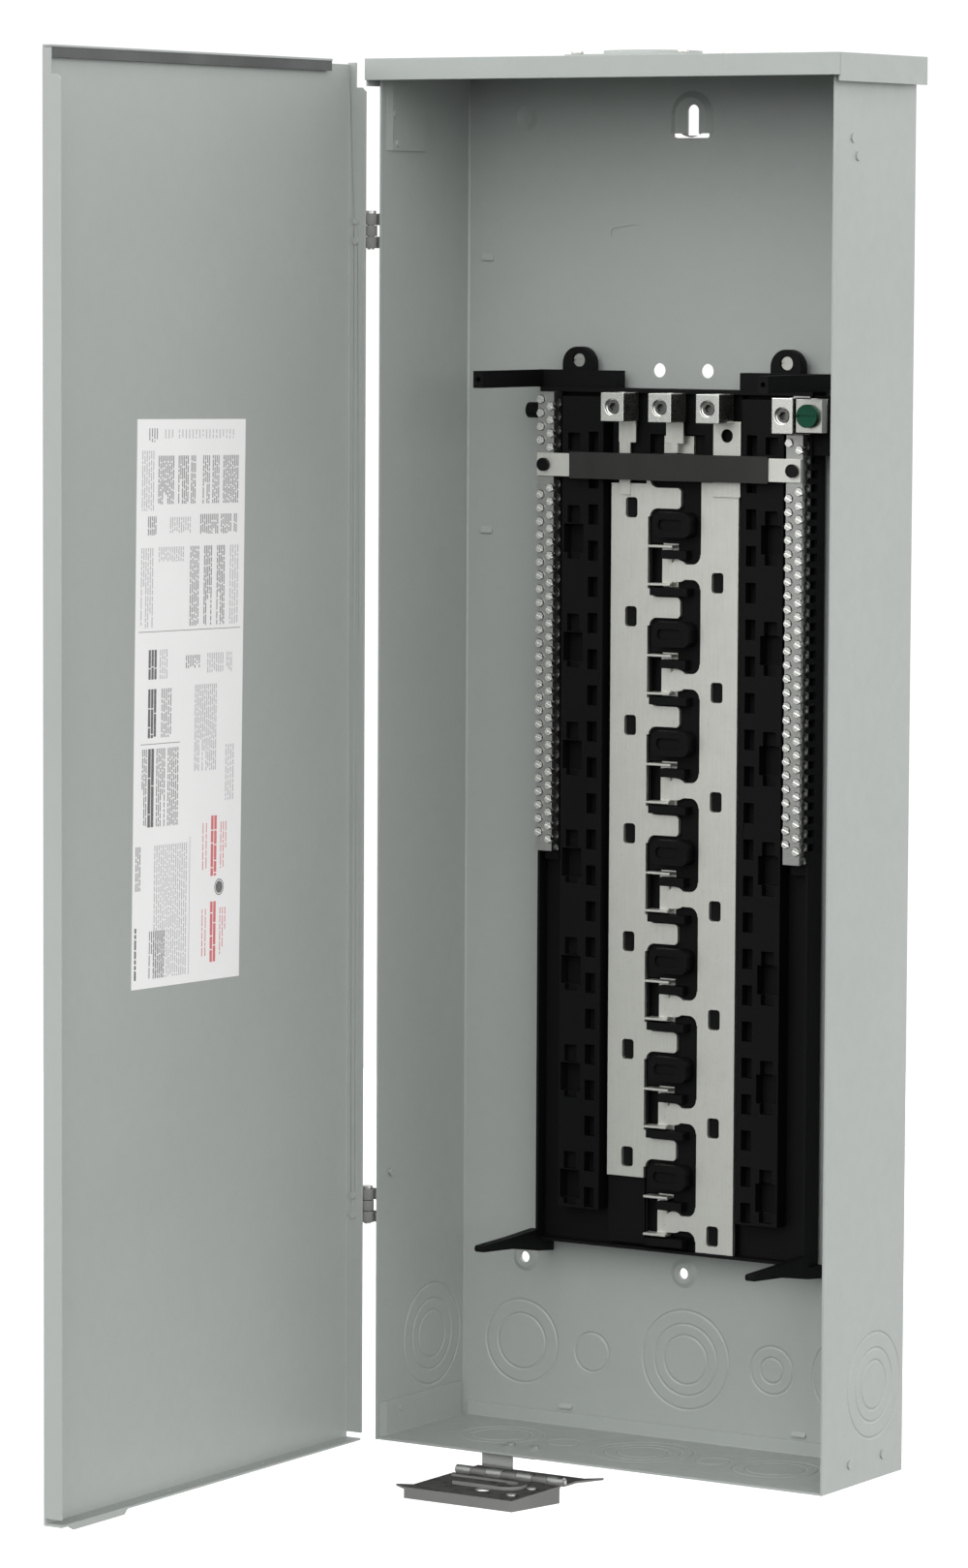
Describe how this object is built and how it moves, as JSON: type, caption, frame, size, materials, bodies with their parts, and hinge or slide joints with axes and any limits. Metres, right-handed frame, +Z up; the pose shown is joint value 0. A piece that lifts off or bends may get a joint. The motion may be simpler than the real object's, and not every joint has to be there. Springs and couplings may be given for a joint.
{
  "type": "outdoor load centre enclosure",
  "caption": "Tall grey outdoor breaker panel box with rain cap, open side-hinged door, black bus interior, neutral bars, main lugs and a padlock flap.",
  "frame": {"origin": "centre of the rear mounting face, on the wall plane", "axes": "+X to the right seen from the front, +Y into the wall, +Z up; the open front faces -Y"},
  "size_m": [0.3923, 0.4857, 0.9984],
  "materials": {
    "paint": "satin baked enamel, light grey",
    "dark_steel": "dark grey plated steel",
    "steel": "zinc plated",
    "black_plastic": "moulded, lightly textured",
    "tin_bus": "tin plated",
    "lug_metal": "bright extruded",
    "sleeve_plastic": "smooth",
    "green_screw": "green plated steel",
    "seal_rubber": "closed-cell foam",
    "label_paper": "printed paper, blank"
  },
  "bodies": {
    "enclosure": {"back_pan": "paint", "bottom_wall": "paint", "rain_cap": "paint", "hub_closure_plate": "paint", "hub_plate_screws": "steel", "shell_rivets": "paint", "box_hinge_leaf_upper": "dark_steel", "box_hinge_leaf_lower": "dark_steel", "hinge_pin_upper": "steel", "hinge_pin_lower": "steel", "latch_bracket": "dark_steel", "latch_pin": "steel", "latch_bracket_screws": "steel", "interior_base": "black_plastic", "breaker_rail_left": "black_plastic", "breaker_rail_right": "black_plastic", "support_post_upper_left": "black_plastic", "support_post_upper_right": "black_plastic", "support_post_lower_left": "black_plastic", "support_post_lower_right": "black_plastic", "centre_barrier": "black_plastic", "bus_bar_left": "tin_bus", "bus_bar_right": "tin_bus", "bus_bar_centre": "tin_bus", "centre_stabs": "tin_bus", "bus_link_left": "tin_bus", "bus_link_centre": "tin_bus", "bus_link_right": "tin_bus", "main_lug_left": "lug_metal", "main_lug_centre": "lug_metal", "main_lug_right": "lug_metal", "main_lug_screws": "steel", "neutral_bar_left": "tin_bus", "neutral_bar_right": "tin_bus", "terminal_screws_left": "tin_bus", "terminal_screws_right": "tin_bus", "neutral_strap": "tin_bus", "strap_sleeve": "sleeve_plastic", "strap_screws": "dark_steel", "neutral_lug": "lug_metal", "neutral_lug_screw": "steel", "bonding_bracket": "steel", "bonding_screw": "green_screw", "interior_mount_screws": "steel"},
    "door": {"door_panel": "paint", "door_top_seal": "seal_rubber", "door_label": "label_paper", "door_hinge_leaf_upper": "dark_steel", "door_hinge_leaf_lower": "dark_steel", "door_rivets": "paint"},
    "latch": {"latch_flap": "dark_steel", "latch_hook": "dark_steel", "latch_rivets": "steel"}
  },
  "joints": [
    {"name": "door_hinge", "type": "hinge", "parent": "enclosure", "child": "door", "pos_m": [-0.1885, -0.1145, 0], "axis": [0, 0, 1], "range_deg": [-81, 89]},
    {"name": "latch_hinge", "type": "hinge", "parent": "enclosure", "child": "latch", "pos_m": [-0.056, -0.133, -0.49385], "axis": [1, 0, 0], "range_deg": [-90, 0]}
  ]
}
